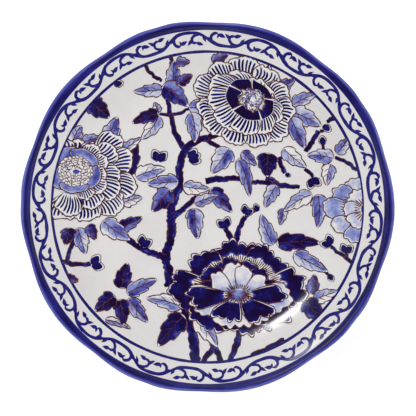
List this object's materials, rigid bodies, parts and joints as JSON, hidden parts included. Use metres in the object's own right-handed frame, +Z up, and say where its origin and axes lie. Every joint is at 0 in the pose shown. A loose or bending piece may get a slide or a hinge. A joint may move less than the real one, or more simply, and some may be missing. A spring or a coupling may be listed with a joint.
{
  "type": "china serving platter",
  "caption": "Round china serving platter with a lobed lip, a foot ring, white glaze and painted blue bands, vine border and flower picture.",
  "frame": {"origin": "centre of the foot ring at its standing edge, where the platter rests on a table", "axes": "+Z up along the platter's axis, +X and +Y across it; the painted picture is upright with +Y at its top"},
  "size_m": [0.3193, 0.3164, 0.029],
  "materials": {
    "fired_clay": "matte",
    "bare_foot": "matte",
    "white_glaze": "gloss",
    "blue_band": "gloss",
    "dark_blue": "gloss",
    "flower_blue": "gloss",
    "leaf_blue": "gloss"
  },
  "bodies": {
    "root": {"clay_body": "fired_clay", "foot_ring": "bare_foot", "face_glaze": "white_glaze", "back_glaze": "white_glaze", "foot_glaze": "white_glaze", "rim_band": "blue_band", "rim_line": "dark_blue", "well_line": "dark_blue", "border_vine": "dark_blue", "border_curls": "dark_blue", "picture_blooms": "flower_blue", "picture_leaves": "leaf_blue", "picture_branches": "dark_blue"}
  },
  "joints": []
}
